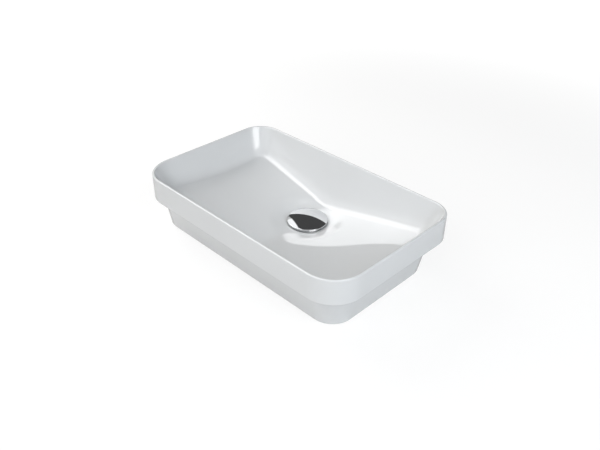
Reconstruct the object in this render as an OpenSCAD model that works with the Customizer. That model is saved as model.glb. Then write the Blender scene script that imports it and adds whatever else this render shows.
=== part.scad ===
// Countertop basin with a thin rim, a stepped body and a push-open waste.
// Origin: middle of the worktop seat, level with the top of the worktop.
// +X along the basin, +Y to its back, +Z up. Heights below are above the foot ring.

/* [Basin] */
// Overall length of the rim
basin_l = 500; // [420:5:620]
// Overall width of the rim, front to back
basin_w = 310; // [280:5:400]
// Height from the foot ring to the rim
basin_h = 110; // [100:1:150]
// Corner radius of the rim at the front
front_r = 60; // [50:1:80]
// Corner radius of the rim at the back
back_r = 46; // [40:1:70]
// Thickness of the rim at its top edge
rim_t = 5.3; // [5:0.1:8]
// Rounding of both rim edges
rim_round = 2.4; // [1.5:0.1:2.4]

/* [Step and lower body] */
// Height of the worktop seat above the foot ring
seat_z = 61.5; // [50:0.5:68]
// Rounding of the lower edge of the rim band
band_round = 1.8; // [1:0.1:4]
// Width of the seat at the two ends
side_step = 13.2; // [8:0.1:18]
// Width of the seat at the front
front_step = 15.3; // [8:0.1:18]
// Width of the seat at the back
back_step = 22; // [8:0.1:26]
// How far the lower body narrows down to the foot, at the ends and the front
lower_taper = 10; // [4:0.5:14]
// How far the lower body narrows down to the foot at the back
back_taper = 15; // [4:0.5:18]
// Corner radius of the lower body under the seat
lower_r = 51; // [44:1:60]
// Fillet between the seat and the lower body
seat_fillet = 3; // [1:0.5:6]
// Rounding of the outer edge of the foot
foot_round = 4; // [2:0.5:6]
// Width of the foot ring, from the outer wall to the hollow underside
foot_w = 13; // [10:0.5:18]

/* [Bowl] */
// Lean of the bowl walls from upright, in degrees
wall_lean = 29; // [24:0.5:32]
// Blend between the walls and the floor
floor_blend = 17; // [8:1:24]
// Fall of the floor from both ends to the middle, in degrees
end_fall = 9.2; // [5:0.1:11]
// Rounding of the valley in the middle of the floor
valley_r = 10; // [6:1:40]
// Fall of the floor from the front and the back to the waste, in degrees
side_fall = 5.7; // [3:0.1:7]
// Thickness of the floor
floor_t = 10; // [8:0.5:12]

/* [Waste outlet of the basin] */
// Distance of the waste behind the middle of the basin
waste_y = 43; // [30:1:50]
// Height of the flat landing around the waste
landing_z = 21.5; // [20:0.5:26]
// Width of the flat landing round the flange recess
landing_w = 4.6; // [3:0.1:8]
// Depth of the recess that takes the waste flange
recess_deep = 3; // [2.5:0.1:4]
// Gap between the waste tube and its hole
hole_gap = 2.05; // [1.2:0.05:3]
// Width of the boss face round the waste hole
boss_w = 14; // [12:0.5:18]
// Height of the boss face above the foot ring
boss_z = 3; // [1:0.5:6]

/* [Waste] */
// How far the waste flange reaches past the hole
flange_lap = 12.5; // [10:0.1:14]
// Gap between the waste flange and its recess
recess_gap = 0.9; // [0.5:0.1:1.5]
// Thickness of the waste flange
flange_t = 2.6; // [2:0.1:3.5]
// Outer radius of the threaded waste tube, G 1 1/4
tube_r = 20.95; // [20:0.05:21.5]
// Wall of the waste tube
tube_t = 2.2; // [1.6:0.1:3]
// Length of the waste tube below the foot ring
tail_l = 42; // [30:1:60]
// Thickness of the flat seal under the flange
flange_seal_t = 1.6; // [1:0.1:2]
// Thickness of the rubber cone washer
cone_t = 6; // [4:0.5:8]
// Distance of the cone washer inside the boss edge
cone_inset = 4; // [2:0.5:6]
// How far the cone washer's nose enters the hole
nose_h = 2.5; // [1.5:0.5:4]
// Thickness of the slip washer
slip_t = 1.2; // [0.8:0.1:2]
// Distance of the slip washer inside the boss edge
slip_inset = 5; // [3:0.5:7]
// Wall of the lock nut, from its thread to a flat
nut_wall = 6.05; // [4:0.05:8]
// Thickness of the lock nut
nut_t = 8; // [6:0.5:12]
// Depth of the cross bars under the waste flange
bar_drop = 6; // [5:0.5:10]
// Height of the cross bars in the waste tube
bar_h = 4; // [3:0.5:6]
// Width of one cross bar
bar_w = 3.6; // [2.5:0.1:5]
// Width of the groove that ends the trap's thread under the nut
relief_w = 1.5; // [1:0.1:3]
// Depth of that groove
relief_deep = 0.6; // [0.3:0.1:1]

/* [Cap] */
// How far the cap reaches past the waste flange
cap_lap = 3.7; // [2:0.1:6]
// Rise of the dome above the rolled edge
dome_h = 4.6; // [3:0.1:7]
// Height of the rolled edge
cap_edge = 3.2; // [2.5:0.1:5]
// Gap between the closed cap and the waste flange
cap_gap = 2; // [1.5:0.1:3]
// Sheet thickness of the cap
cap_sheet = 1; // [0.8:0.1:1.5]
// Radius of the roll that closes the cap's edge
roll_r = 1.1; // [0.8:0.1:1.5]
// Thickness of the core inside the cap
core_t = 2; // [1.5:0.1:3]
// Distance of the cap's seal inside the flange edge
seal_inset = 6.5; // [4:0.5:9]
// Width of the cap's seal
seal_w = 2.4; // [1.6:0.1:3.2]
// How far the cap rises when it opens
lift = 9; // [6:0.5:10]

/* [Push cartridge] */
// Outer radius of the cartridge barrel
barrel_r = 7; // [6.5:0.1:8]
// Wall of the cartridge barrel
barrel_t = 1.4; // [1:0.1:1.6]
// Radius of the push stem
stem_r = 2.6; // [2.2:0.1:3]
// Wire radius of the seal round the stem
seal_wire_r = 0.6; // [0.4:0.1:0.8]
// Radius of the stud between the stem and the cap
stud_r = 1.6; // [1.2:0.1:1.8]
// Radius of the pin that carries the rotor
pin_r = 1.5; // [1:0.1:2]
// Number of guide grooves in the cam sleeve
grooves = 4; // [3:1:6]
// Width of one guide groove
groove_w = 2; // [1.6:0.1:2.4]
// Height of the rotor without its ratchet teeth
rotor_h = 4; // [3:0.5:6]
// Height of the ratchet teeth
tooth_h = 1.2; // [0.8:0.1:1.6]
// Length of the spring while the cap is closed
spring_l = 10; // [9:0.5:14]
// Wire radius of the spring
wire_r = 0.4; // [0.3:0.05:0.45]
// Turns of the spring
spring_turns = 6; // [4:1:6]

/* [Fits] */
// Radial play of a running fit
run_fit = 0.05; // [0.02:0.01:0.1]
// Radial play of a screwed or seated piece
seat_fit = 0.1; // [0.05:0.05:0.3]
// Gap between two bodies that move past each other
play = 0.35; // [0.3:0.05:0.6]

/* [Hidden] */

fine = 96;
// Points on one quarter corner, on a long side and on a short side of a ring
corner_n = 9;
long_n = 14;
short_n = 6;
// Points crowd towards the middle of a side, where the valley bends
crowding = 1.4;
// Smallest plan radius that a corner is drawn with
least_r = 6;
// Steps in one rounded edge
arc_n = 3;
// Part of the wall's inset that the bowl corners lose in radius
corner_loss = 0.6;
// Width over which the floor blends into the flat landing
landing_blend = 24;
// Softening of the fall towards the waste
fall_soft = 42;
// A cut reaches this far past the face it opens
over = 1;
// Lean of the hollow underside's walls
draft = 2;

// Sizes that follow from those above
hole_r = tube_r + hole_gap;
boss_r = hole_r + boss_w;
flange_r = hole_r + flange_lap;
recess_r = flange_r + recess_gap;
landing_r = recess_r + landing_w;
cap_r = flange_r + cap_lap;
seal_ring_r = flange_r - seal_inset;

ceramic = "#e9edf0";
chrome = "#b9bdc2";
brass = "#c8a24a";
rubber = "#303236";
acetal = "#dfe3e6";
steel = "#8f949a";

// Outlines and rings of the basin body

function spread(t) = let (u = 2 * t - 1) (1 + sign(u) * pow(abs(u), crowding)) / 2;

function arc(x, y, r, start) =
    [for (i = [0:corner_n]) [x + r * cos(start + 90 * i / corner_n), y + r * sin(start + 90 * i / corner_n)]];

function between(p, q, n) = [for (i = [1:n - 1]) p + (q - p) * spread(i / n)];

// Rounded outline, inset from the rim by separate amounts at the ends, the front and the back
function outline(ends, front, back, rf, rb) =
    let (
        x = basin_l / 2 - ends,
        y0 = front - basin_w / 2,
        y1 = basin_w / 2 - back,
        f = max(rf, least_r),
        b = max(rb, least_r),
        c1 = arc(x - f, y0 + f, f, -90),
        c2 = arc(x - b, y1 - b, b, 0),
        c3 = arc(b - x, y1 - b, b, 90),
        c4 = arc(f - x, y0 + f, f, 180)
    )
    concat(
        c1, between(c1[corner_n], c2[0], short_n),
        c2, between(c2[corner_n], c3[0], long_n),
        c3, between(c3[corner_n], c4[0], short_n),
        c4, between(c4[corner_n], c1[0], long_n)
    );

function level(points, z) = [for (p = points) [p[0], p[1], z]];

// The rim's outline at an inset that is the same all round
function rim_ring(inset, z) = level(outline(inset, inset, inset, front_r - inset, back_r - inset), z);

// The lower body's outline: down is 0 under the seat and 1 at the foot, more is a further inset
function lower_outline(down, more) =
    outline(
        side_step + lower_taper * down + more,
        front_step + lower_taper * down + more,
        back_step + back_taper * down + more,
        lower_r - lower_taper * down - more,
        lower_r - lower_taper * down - more
    );

function lower_down(z) = (seat_z - z) / seat_z;

// Larger of two heights, with a round blend where they are within s of each other
function blend_max(a, b, s) = let (h = max(s - abs(a - b), 0) / s) max(a, b) + h * h * s / 4;

function ease(t) = let (k = min(max(t, 0), 1)) k * k * (3 - 2 * k);

function soft_run(d, soft) = sqrt(d * d + soft * soft) - soft;

// Height of the bowl floor above the foot ring, level round the waste
function floor_z(p) =
    let (
        fall = tan(end_fall) * soft_run(p[0], valley_r) + tan(side_fall) * soft_run(p[1] - waste_y, fall_soft),
        r = norm([p[0], p[1] - waste_y])
    )
    landing_z + fall * ease((r - landing_r) / landing_blend);

wall_inset = rim_t - rim_round + rim_round * cos(wall_lean);
wall_top = basin_h - rim_round + rim_round * sin(wall_lean);

function bowl_outline(run) =
    outline(
        wall_inset + run, wall_inset + run, wall_inset + run,
        front_r - wall_inset - run * corner_loss, back_r - wall_inset - run * corner_loss
    );

// One ring of the bowl, where the wall has run inwards by the given distance
function bowl_ring(run) =
    [for (p = bowl_outline(run)) [p[0], p[1], blend_max(floor_z(p), wall_top - run / tan(wall_lean), floor_blend)]];

function on_circle(p, r) = let (d = [p[0], p[1] - waste_y]) [d[0] * r / norm(d), waste_y + d[1] * r / norm(d)];

// Rings that shrink from an outline to a circle round the waste, with the floor's own height less a drop
function floor_rings(points, r, steps, drop) =
    [for (k = steps) [for (p = points) let (q = p + (on_circle(p, r) - p) * k) [q[0], q[1], floor_z(q) - drop]]];

// The inner circles lie inside the waste hole, which is bored afterwards
core_r = hole_r - 3;
blend_run = floor_blend * tan(wall_lean);
deep_run = (wall_top - landing_z) * tan(wall_lean) + blend_run / 2;
end_run = (wall_top - floor_z([basin_l / 2 - wall_inset, 0])) * tan(wall_lean);
cave = lower_outline(1, foot_w);

body_rings = concat(
    [level([for (p = bowl_outline(deep_run)) on_circle(p, core_r)], landing_z)],
    floor_rings(bowl_outline(deep_run), landing_r, [1, 0.85, 0.65, 0.45, 0.2], 0),
    [for (k = [0:8]) bowl_ring(deep_run + (end_run - blend_run - deep_run) * k / 8)],
    [bowl_ring(0)],
    [for (k = [1:arc_n]) let (a = wall_lean + (90 - wall_lean) * k / arc_n)
        rim_ring(rim_t - rim_round + rim_round * cos(a), basin_h - rim_round + rim_round * sin(a))],
    [for (k = [0:arc_n]) let (a = 90 * k / arc_n)
        rim_ring(rim_round - rim_round * sin(a), basin_h - rim_round + rim_round * cos(a))],
    [for (k = [0:arc_n]) let (a = 90 * k / arc_n)
        rim_ring(band_round - band_round * cos(a), seat_z + band_round - band_round * sin(a))],
    [for (k = [0:arc_n]) let (a = 90 * k / arc_n, z = seat_z - seat_fillet + seat_fillet * cos(a))
        level(lower_outline(0, seat_fillet * (sin(a) - 1)), z)],
    [for (k = [0:arc_n]) let (a = 90 * k / arc_n, z = foot_round - foot_round * sin(a))
        level(lower_outline(lower_down(foot_round), foot_round - foot_round * cos(a)), z)],
    [level(cave, 0)],
    floor_rings(lower_outline(1, foot_w + draft), landing_r, [0, 0.2, 0.45, 0.7, 1], floor_t),
    [level([for (p = cave) on_circle(p, core_r)], landing_z - floor_t)]
);

// Closed skin over rings that form a loop
module ring_skin(rings) {
    n = len(rings[0]);
    m = len(rings);
    points = [for (r = rings) each r];
    faces = [
        for (j = [0:m - 1], i = [0:n - 1])
            let (a = j * n + i, b = j * n + (i + 1) % n, c = ((j + 1) % m) * n + (i + 1) % n, d = ((j + 1) % m) * n + i)
            each [[a, b, c], [a, c, d]]
    ];
    polyhedron(points, faces, convexity = 8);
}

// Puts a piece drawn at its height above the foot ring into the part's own frame
module on_worktop() {
    translate([0, 0, -seat_z]) children();
}

module at_waste(z = 0) {
    on_worktop() translate([0, waste_y, z]) children();
}

module ring(outer, inner, z, h) {
    translate([0, 0, z])
        difference() {
            cylinder(r = outer, h = h, $fn = fine);
            translate([0, 0, -over]) cylinder(r = inner, h = h + 2 * over, $fn = fine);
        }
}

// Heights of the waste, all from the landing downwards
recess_z = landing_z - recess_deep;
flange_z = recess_z + flange_seal_t;
flange_top = flange_z + flange_t;
cone_z = boss_z - cone_t;
slip_z = cone_z - slip_t;
nut_z = slip_z - nut_t;
throat_r = tube_r - tube_t;

module basin_body() {
    color(ceramic)
        difference() {
            union() {
                on_worktop() ring_skin(body_rings);
                at_waste(boss_z) cylinder(r = boss_r, h = recess_z - boss_z, $fn = fine);
            }
            at_waste(boss_z - over) cylinder(r = hole_r, h = landing_z - boss_z + 2 * over, $fn = fine);
            at_waste(recess_z) cylinder(r = recess_r, h = recess_deep + over, $fn = fine);
        }
}

// Heights of the cartridge, which screws into the cross bars
bar_top = flange_z - bar_drop;
boss_h = bar_h + 4;
collar_h = 2.4;
collar_r = barrel_r + 2;
collar_z = bar_top;
barrel_top = collar_z + collar_h;
roof_t = 3;
bore_r = barrel_r - barrel_t;
roof_z = barrel_top - roof_t;
// The sleeve hangs under the roof and is as long as the lift and the plunger's head need
head_h = 3;
sleeve_h = lift + head_h + play;
sleeve_z = roof_z - sleeve_h;
rotor_top = sleeve_z - play;
rotor_z = rotor_top - rotor_h;
spring_z = rotor_z - play - spring_l;
plug_t = 3;
plug_z = spring_z - play - plug_t;
barrel_z = plug_z;
sleeve_r = bore_r - run_fit;
track_r = sleeve_r - 1.1;
rotor_r = track_r - play / 2;
rib_r = sleeve_r - 0.4;
// Depth that a rib is rooted in its disc
rib_root = 0.5;

module waste_body() {
    edge = 0.8;
    lip = 0.4;
    mouth = 1.5;
    chamfer = 1;
    dish = 4;
    color(chrome)
        at_waste()
            difference() {
                union() {
                    rotate_extrude($fn = fine)
                        polygon([
                            [throat_r, lip - tail_l], [throat_r + lip, -tail_l],
                            [tube_r - chamfer, -tail_l], [tube_r, chamfer - tail_l],
                            [tube_r, nut_z - relief_w], [tube_r - relief_deep, nut_z - relief_w],
                            [tube_r - relief_deep, nut_z], [tube_r, nut_z],
                            [tube_r, flange_z], [flange_r - lip, flange_z],
                            [flange_r, flange_z + lip], [flange_r, flange_top - edge],
                            [flange_r - edge, flange_top], [seal_ring_r - dish, flange_top],
                            [throat_r + mouth, flange_z + lip], [throat_r, flange_z - mouth]
                        ]);
                    for (a = [0, 90])
                        rotate([0, 0, a])
                            translate([-throat_r - tube_t / 2, -bar_w / 2, bar_top - bar_h])
                                cube([2 * throat_r + tube_t, bar_w, bar_h]);
                    translate([0, 0, bar_top - boss_h]) cylinder(r = barrel_r + 2.2, h = boss_h, $fn = fine);
                }
                translate([0, 0, bar_top - boss_h - over])
                    cylinder(r = barrel_r + seat_fit, h = boss_h + 2 * over, $fn = fine);
            }
}

module flange_seal() {
    color(rubber) at_waste() ring(flange_r - 1.5, tube_r + seat_fit, recess_z, flange_seal_t);
}

// Tapered rubber washer: its cone centres itself in the waste hole
module cone_washer() {
    cone_r = boss_r - cone_inset;
    edge = 1.5;
    nose_taper = 0.8;
    bore = tube_r + seat_fit;
    nose_r = hole_r - seat_fit;
    color(rubber)
        at_waste()
            rotate_extrude($fn = fine)
                polygon([
                    [bore, cone_z], [cone_r, cone_z], [cone_r, boss_z - edge], [cone_r - edge, boss_z],
                    [nose_r, boss_z], [nose_r - nose_taper, boss_z + nose_h], [bore, boss_z + nose_h]
                ]);
}

module slip_washer() {
    color(acetal) at_waste() ring(boss_r - slip_inset, tube_r + seat_fit, slip_z, slip_t);
}

// Six-sided nut with its upper and lower corners turned off
module lock_nut() {
    corner_r = (tube_r + nut_wall) / cos(30);
    chamfer = 1.6;
    color(brass)
        at_waste()
            difference() {
                intersection() {
                    translate([0, 0, nut_z]) cylinder(r = corner_r, h = nut_t, $fn = 6);
                    rotate_extrude($fn = fine)
                        polygon([
                            [0, nut_z], [corner_r - chamfer * 1.6, nut_z], [corner_r, nut_z + chamfer],
                            [corner_r, nut_z + nut_t - chamfer], [corner_r - chamfer * 1.6, nut_z + nut_t],
                            [0, nut_z + nut_t]
                        ]);
                }
                translate([0, 0, nut_z - over]) cylinder(r = tube_r + seat_fit, h = nut_t + 2 * over, $fn = fine);
            }
}

module cartridge_barrel() {
    groove_z = barrel_top - roof_t / 2;
    color(brass)
        at_waste()
            difference() {
                union() {
                    translate([0, 0, barrel_z]) cylinder(r = barrel_r, h = collar_z - barrel_z, $fn = fine);
                    translate([0, 0, collar_z]) cylinder(r = collar_r, h = collar_h, $fn = fine);
                }
                translate([0, 0, barrel_z - over]) cylinder(r = bore_r, h = roof_z - barrel_z + over, $fn = fine);
                translate([0, 0, roof_z - over]) cylinder(r = stem_r + run_fit, h = roof_t + 2 * over, $fn = fine);
                translate([0, 0, groove_z - seal_wire_r - seat_fit])
                    cylinder(r = stem_r + 2 * seal_wire_r + seat_fit, h = 2 * (seal_wire_r + seat_fit), $fn = fine);
            }
}

// Round seal that wipes the stem
module stem_seal() {
    color(rubber)
        at_waste(barrel_top - roof_t / 2)
            rotate_extrude($fn = fine)
                translate([stem_r + run_fit + seal_wire_r, 0]) circle(r = seal_wire_r, $fn = 32);
}

module barrel_plug() {
    vent_r = 1.5;
    color(brass)
        at_waste()
            difference() {
                translate([0, 0, plug_z]) cylinder(r = bore_r - run_fit, h = plug_t, $fn = fine);
                translate([0, 0, plug_z - over]) cylinder(r = vent_r, h = plug_t + 2 * over, $fn = 32);
            }
}

// Ratchet teeth on top of a disc, each with one steep and one sloping side
module teeth(outer, inner, count) {
    half = 180 / count;
    reach = outer * tan(half);
    crest = 0.8;
    intersection() {
        ring(outer, inner, 0, tooth_h);
        for (i = [0:count - 1])
            rotate([90, 0, i * 2 * half])
                linear_extrude(height = outer)
                    polygon([[-reach, -over], [reach, -over], [reach, 0], [reach * crest, tooth_h], [-reach, 0]]);
    }
}

module ribs(count, from_r, to_r, width, z, h) {
    for (i = [0:count - 1])
        rotate([0, 0, i * 360 / count])
            translate([from_r, -width / 2, z]) cube([to_r - from_r, width, h]);
}

// Sleeve whose grooves let the rotor rise and whose lower edge holds it down
module cam_sleeve() {
    color(acetal)
        at_waste()
            difference() {
                ring(sleeve_r, track_r, sleeve_z, sleeve_h);
                ribs(grooves, track_r - over, rib_r + play / 2, groove_w, sleeve_z - over, sleeve_h + 2 * over);
            }
}

// Ratchet ring, drawn as the latch lets go: its ribs stand under the grooves that they rise into
module index_rotor() {
    color(acetal)
        at_waste()
            difference() {
                union() {
                    translate([0, 0, rotor_z]) cylinder(r = rotor_r, h = rotor_h, $fn = fine);
                    translate([0, 0, rotor_top]) teeth(rotor_r, pin_r, 2 * grooves);
                    ribs(grooves, rotor_r - rib_root, rib_r, groove_w - play, rotor_z, rotor_h);
                }
                translate([0, 0, rotor_z - over])
                    cylinder(r = pin_r + run_fit, h = rotor_h + tooth_h + 2 * over, $fn = 32);
            }
}

stud_deep = 5;
plunger_low = rotor_top + play;
plunger_top = barrel_top + 1;

// Stem with a ribbed head that pushes the rotor and a pin that carries it
module plunger() {
    color(acetal)
        at_waste()
            difference() {
                union() {
                    translate([0, 0, rotor_z + 0.5]) cylinder(r = pin_r, h = plunger_low - rotor_z, $fn = 32);
                    translate([0, 0, plunger_low]) cylinder(r = rotor_r, h = head_h, $fn = fine);
                    ribs(grooves, rotor_r - rib_root, rib_r, groove_w - play, sleeve_z + play, head_h - 2 * play);
                    translate([0, 0, plunger_low]) cylinder(r = stem_r, h = plunger_top - plunger_low, $fn = fine);
                }
                translate([0, 0, plunger_low]) teeth(rotor_r + over, pin_r, 2 * grooves);
                translate([0, 0, plunger_top - stud_deep])
                    cylinder(r = stud_r + run_fit, h = stud_deep + over, $fn = 48);
            }
}

// Compression spring as one tube swept along a helix, closed at both ends
coil_r = rotor_r - wire_r - 0.3;
rings_per_turn = 24;
wire_sides = 6;
spring_steps = spring_turns * rings_per_turn;
spring_run = spring_l - 2 * wire_r;
function helix(t) = [coil_r * cos(360 * t * spring_turns), coil_r * sin(360 * t * spring_turns), spring_run * t];
echo(spring_gap = spring_run / spring_turns - 2 * wire_r);

module lift_spring() {
    rings = [
        for (i = [0:spring_steps])
            let (t = i / spring_steps, p = helix(t), a = 360 * t * spring_turns)
            [for (k = [0:wire_sides - 1])
                let (b = 360 * k / wire_sides)
                p + wire_r * (cos(b) * [cos(a), sin(a), 0] + sin(b) * [0, 0, 1])]
    ];
    last = spring_steps * wire_sides;
    faces = concat(
        [[for (k = [0:wire_sides - 1]) k]],
        [for (i = [0:spring_steps - 1], k = [0:wire_sides - 1])
            let (q = (k + 1) % wire_sides, a = i * wire_sides + k, b = i * wire_sides + q)
            each [[a, a + wire_sides, b + wire_sides], [a, b + wire_sides, b]]],
        [[for (k = [wire_sides - 1:-1:0]) last + k]]
    );
    color(steel) at_waste(spring_z + wire_r) polyhedron([for (r = rings) each r], faces, convexity = 12);
}

// Heights of the cap while it is closed
cap_z = flange_top + cap_gap;
edge_top = cap_z + cap_edge;
dome_r = (cap_r * cap_r + dome_h * dome_h) / (2 * dome_h);
// The roll stands out past the cap's wall
wall_r = cap_r - 0.3;

// Cut from a large sphere, so that its top is a shallow dome
module dome(r) {
    intersection() {
        translate([0, 0, edge_top + dome_h - dome_r]) sphere(r = dome_r, $fn = fine * 2);
        translate([0, 0, cap_z]) cylinder(r = r, h = cap_edge + dome_h, $fn = fine);
    }
}

// Pressed metal cap whose edge rolls round the core
module plug_cap() {
    color(chrome)
        at_waste() {
            difference() {
                dome(wall_r);
                translate([0, 0, -cap_sheet]) dome(wall_r - cap_sheet);
                translate([0, 0, cap_z - over])
                    cylinder(r = wall_r - cap_sheet, h = cap_edge - cap_sheet + over, $fn = fine);
            }
            rotate_extrude($fn = fine)
                translate([cap_r - roll_r, cap_z + roll_r]) circle(r = roll_r, $fn = 32);
        }
}

core_r1 = cap_r - 2 * roll_r - seat_fit;
core_top = edge_top - cap_sheet - seat_fit;
core_z = core_top - core_t;
core_boss_z = plunger_top + 0.5;
groove_deep = 1;
// Sheet of the core left over the stud
stud_roof = 0.6;
seal_in = seal_ring_r - seal_w / 2;
seal_out = seal_ring_r + seal_w / 2;

// Plastic core with a boss for the stud and a groove for the seal
module cap_core() {
    boss = stud_r + 3.4;
    color(acetal)
        at_waste()
            difference() {
                union() {
                    translate([0, 0, core_z]) cylinder(r = core_r1, h = core_t, $fn = fine);
                    translate([0, 0, core_boss_z]) cylinder(r = boss, h = core_z - core_boss_z + over, $fn = fine);
                }
                translate([0, 0, core_boss_z - over])
                    cylinder(r = stud_r + run_fit, h = core_top - core_boss_z - stud_roof + over, $fn = 48);
                ring(seal_out + seat_fit, seal_in - seat_fit, core_z - over, groove_deep + over);
            }
}

module cap_seal() {
    low = flange_top + 0.3;
    edge = seal_w / 4;
    color(rubber)
        at_waste()
            rotate_extrude($fn = fine)
                polygon([
                    [seal_in, core_z + groove_deep], [seal_in, low + edge], [seal_in + edge, low],
                    [seal_out - edge, low], [seal_out, low + edge], [seal_out, core_z + groove_deep]
                ]);
}

module cap_stud() {
    color(steel)
        at_waste(plunger_top - stud_deep)
            cylinder(r = stud_r, h = core_top - stud_roof - plunger_top + stud_deep, $fn = 48);
}

basin_body();
waste_body();
flange_seal();
cone_washer();
slip_washer();
lock_nut();
cartridge_barrel();
barrel_plug();
cam_sleeve();
stem_seal();
lift_spring();
plug_cap();
cap_core();
cap_seal();
cap_stud();
plunger();
index_rotor();
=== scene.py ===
import math

import bmesh
import bpy
from bpy.props import FloatProperty, FloatVectorProperty, IntProperty, PointerProperty
from mathutils import Matrix, Vector


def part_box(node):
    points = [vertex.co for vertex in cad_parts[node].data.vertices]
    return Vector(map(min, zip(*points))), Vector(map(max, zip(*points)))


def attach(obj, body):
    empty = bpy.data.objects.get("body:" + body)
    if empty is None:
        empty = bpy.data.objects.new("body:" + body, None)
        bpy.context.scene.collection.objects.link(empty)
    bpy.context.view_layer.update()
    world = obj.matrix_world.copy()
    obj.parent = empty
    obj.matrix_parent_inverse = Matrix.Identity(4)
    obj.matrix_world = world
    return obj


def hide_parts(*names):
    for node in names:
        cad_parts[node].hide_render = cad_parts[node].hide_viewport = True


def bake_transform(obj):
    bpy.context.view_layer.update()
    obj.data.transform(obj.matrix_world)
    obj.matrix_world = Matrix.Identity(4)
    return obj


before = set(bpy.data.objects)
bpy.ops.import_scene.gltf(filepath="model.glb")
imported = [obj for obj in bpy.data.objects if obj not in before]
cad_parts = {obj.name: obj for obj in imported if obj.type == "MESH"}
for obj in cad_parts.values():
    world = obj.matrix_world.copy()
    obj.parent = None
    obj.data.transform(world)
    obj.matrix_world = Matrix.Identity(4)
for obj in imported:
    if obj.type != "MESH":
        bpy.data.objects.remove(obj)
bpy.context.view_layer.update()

bl_info = {
    "name": "Countertop basin",
    "version": (1, 0, 0),
    "blender": (4, 5, 0),
    "location": "3D View > Sidebar > Basin",
    "description": "Glazed basin with a push-open waste, dressed over its solids",
    "category": "Add Mesh",
}

BODY_LOW, BODY_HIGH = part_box("basin_body")
CAP_LOW, CAP_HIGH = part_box("plug_cap")
WASTE_LOW, WASTE_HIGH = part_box("waste_body")


def length(name, description, default):
    return FloatProperty(name=name, description=description, default=default, unit="LENGTH", precision=4)


def angle(name, description, degrees):
    return FloatProperty(name=name, description=description, default=math.radians(degrees), subtype="ANGLE")


def tint(name, description, default):
    return FloatVectorProperty(name=name, description=description, default=default, subtype="COLOR", min=0, max=1)


def share(name, description, default):
    return FloatProperty(name=name, description=description, default=default, subtype="FACTOR", min=0, max=1)


def amount(name, description, default):
    return FloatProperty(name=name, description=description, default=default, min=0)


class BasinRim(bpy.types.PropertyGroup):
    """Rim, band and seat"""

    long: length("Length", "Overall length of the rim", BODY_HIGH.x - BODY_LOW.x)
    wide: length("Width", "Overall width of the rim", BODY_HIGH.y - BODY_LOW.y)
    high: length("Height", "Height from the foot ring to the rim", BODY_HIGH.z - BODY_LOW.z)
    front_r: length("Front corners", "Corner radius at the front", 0.060)
    back_r: length("Back corners", "Corner radius at the back", 0.046)
    thick: length("Rim thickness", "Thickness of the rim at its top edge", 0.0053)
    edge: length("Rim rounding", "Rounding of both rim edges", 0.0024)
    band_edge: length("Band rounding", "Rounding of the band's lower edge", 0.0018)
    seat: length("Seat height", "Height of the worktop seat above the foot ring", -BODY_LOW.z)


class BasinLower(bpy.types.PropertyGroup):
    """Lower body, foot and underside"""

    ends_in: length("End step", "Width of the seat at the two ends", 0.0132)
    front_in: length("Front step", "Width of the seat at the front", 0.0153)
    back_in: length("Back step", "Width of the seat at the back", 0.022)
    taper: length("Taper", "Narrowing down to the foot at the ends and the front", 0.010)
    back_taper: length("Back taper", "Narrowing down to the foot at the back", 0.015)
    corner: length("Corners", "Corner radius under the seat", 0.051)
    fillet: length("Seat fillet", "Fillet between the seat and the lower body", 0.003)
    foot_edge: length("Foot rounding", "Rounding of the foot's outer edge", 0.004)
    foot: length("Foot width", "Width of the foot ring", 0.013)
    draft: length("Draft", "Lean of the hollow underside's walls", 0.002)


class BasinBowl(bpy.types.PropertyGroup):
    """Bowl and waste landing"""

    lean: angle("Wall lean", "Lean of the bowl walls from upright", 25.8)
    blend: length("Floor blend", "Blend between the walls and the floor", 0.0235)
    end_fall: angle("End fall", "Fall of the floor from both ends to the middle", 9.35)
    valley: length("Valley", "Rounding of the valley in the middle of the floor", 0.0117)
    side_fall: angle("Side fall", "Fall of the floor from the front and the back", 7.35)
    side_soft: length("Side softening", "Softening of the fall towards the waste", 0.086)
    floor: length("Floor thickness", "Thickness of the floor", 0.010)
    waste_y: length("Waste place", "Distance of the waste behind the middle", 0.043)
    landing: length("Landing height", "Height of the flat landing above the foot ring", 0.0215)
    landing_r: length("Landing radius", "Radius of the flat landing", 0.0374)
    sink: length("Sink width", "Width of the rounded step from the landing up to the floor", 0.0026)
    lip: length("Sink depth", "Height of that step", 0.0014)
    landing_soft: length("Landing blend", "Width over which the floor takes up its fall", 0.036)
    recess: length("Recess depth", "Depth of the recess for the waste flange", 0.003)
    recess_r: length("Recess radius", "Radius of the recess for the waste flange", 0.0364)
    hole_r: length("Hole radius", "Radius of the waste hole", 0.023)
    boss_r: length("Boss radius", "Radius of the boss under the waste hole", 0.037)
    boss: length("Boss height", "Height of the boss face above the foot ring", 0.003)


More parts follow.
